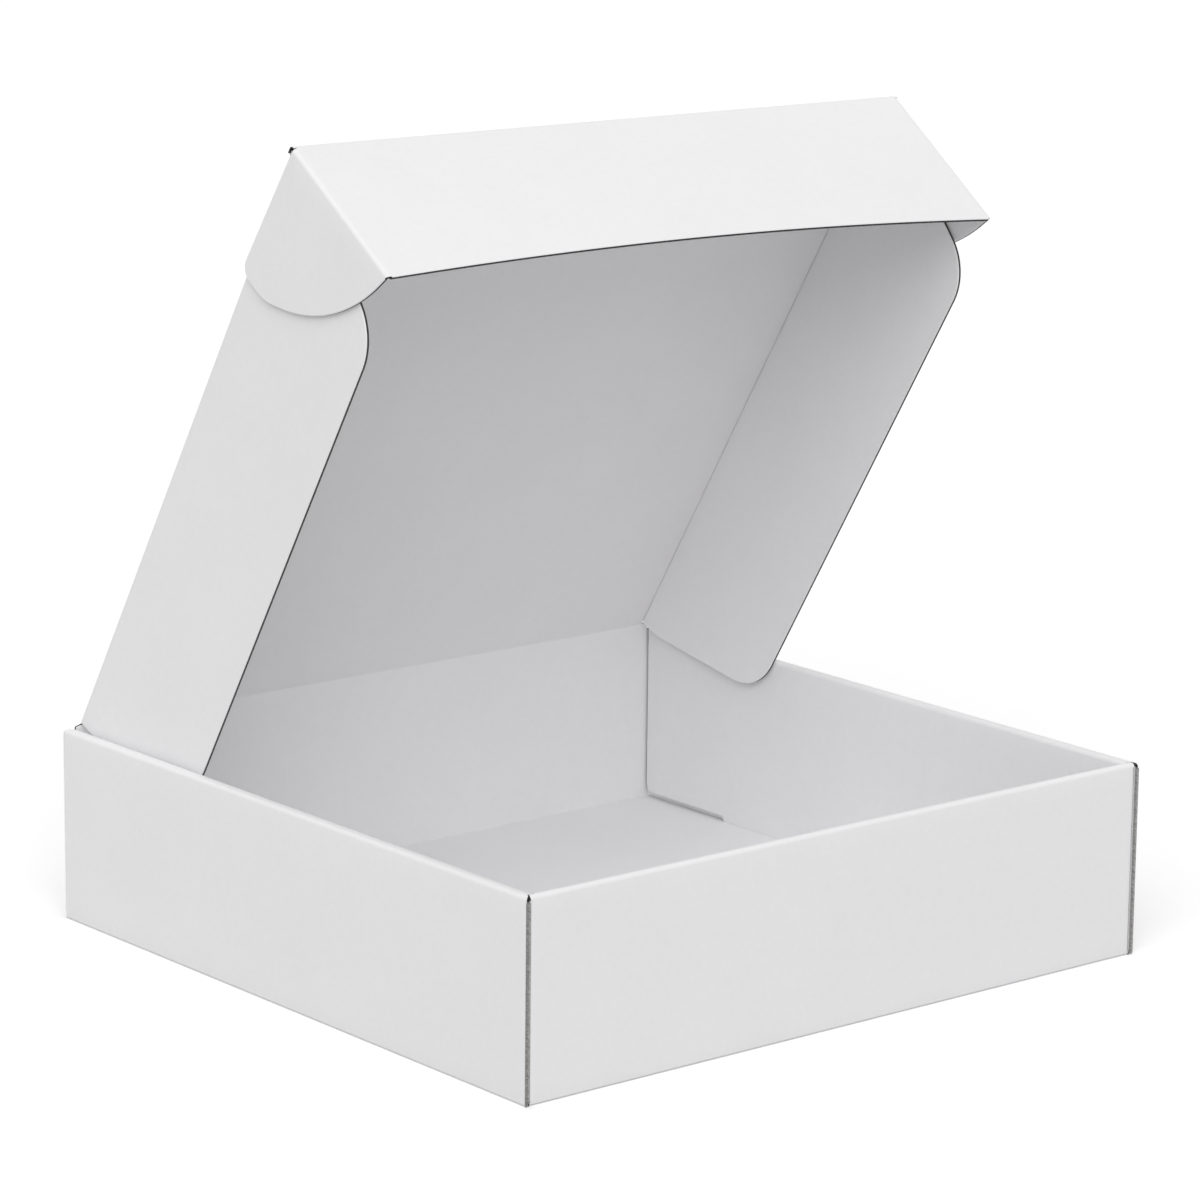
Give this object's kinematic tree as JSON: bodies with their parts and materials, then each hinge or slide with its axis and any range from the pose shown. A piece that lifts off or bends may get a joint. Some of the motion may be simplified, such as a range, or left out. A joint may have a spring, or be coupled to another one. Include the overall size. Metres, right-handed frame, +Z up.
{
  "type": "roll-end tuck-front mailer box",
  "caption": "Open white corrugated mailer: square shallow tray with a hinged lid, two wings, a tuck flap and ears, for shipping bottles laid flat.",
  "frame": {"origin": "middle of the box's footprint, on the surface that it stands on", "axes": "+X right along the front, -Y out of the front wall, +Z up; the lid hinges on the back wall at +Y"},
  "size_m": [0.34, 0.328, 0.3612],
  "materials": {
    "white_board": "matt"
  },
  "bodies": {
    "tray": {"tray": "white_board"},
    "lid": {"lid": "white_board"}
  },
  "joints": [
    {"name": "lid_hinge", "type": "hinge", "parent": "tray", "child": "lid", "pos_m": [0, 0.16315, 0.08815], "axis": [-1, 0, 0], "range_deg": [-58.3, 121.7]}
  ]
}
